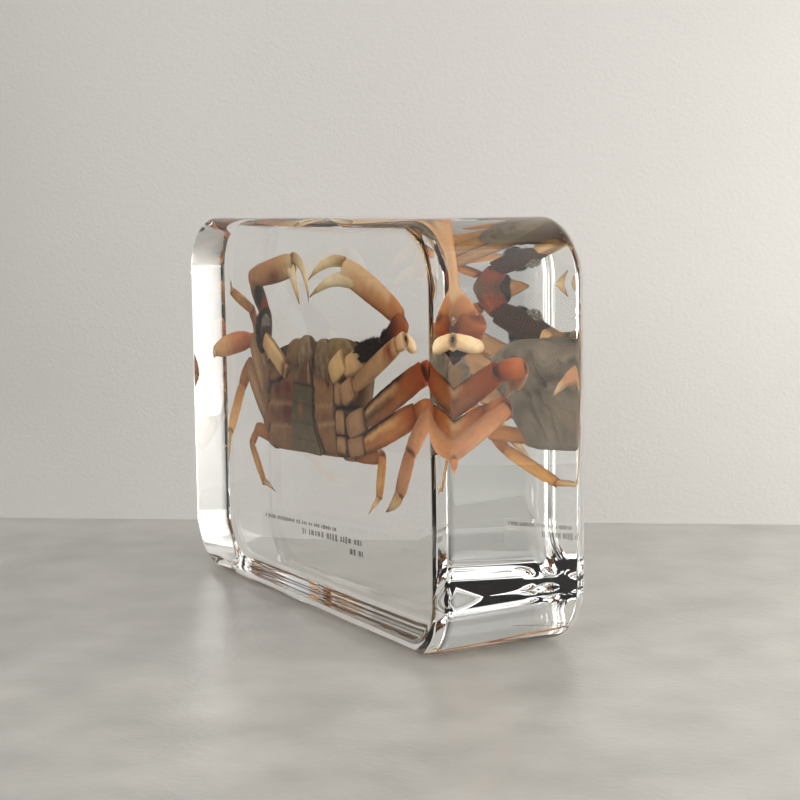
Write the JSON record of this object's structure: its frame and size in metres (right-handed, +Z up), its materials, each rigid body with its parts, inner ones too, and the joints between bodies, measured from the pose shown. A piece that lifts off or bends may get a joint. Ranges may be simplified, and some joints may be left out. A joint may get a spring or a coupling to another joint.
{
  "type": "crab in resin block",
  "caption": "Clear rounded resin block standing on a narrow side, with a dried mudflat crab cast inside, its underside towards one broad face, and a small label slip below it.",
  "frame": {"origin": "middle of the block's base, on the surface it stands on", "axes": "+X along the block's long side, the crab's own left; +Y from the broad face that shows the crab's underside to the other broad face; +Z up"},
  "size_m": [0.09, 0.024, 0.06],
  "materials": {
    "resin": "clear cast resin, polished",
    "shell": "dried shell, greenish grey-brown, satin",
    "claw": "dried shell, tan, satin",
    "leg": "dried shell, orange-brown, satin",
    "film": "clear film"
  },
  "bodies": {
    "root": {"resin_front": "resin", "resin_back": "resin", "crab_body": "shell", "left_claw": "claw", "right_claw": "claw", "left_leg_1": "leg", "left_leg_2": "leg", "left_leg_3": "leg", "left_leg_4": "leg", "right_leg_1": "leg", "right_leg_2": "leg", "right_leg_3": "leg", "right_leg_4": "leg", "label_slip": "film"}
  },
  "joints": []
}
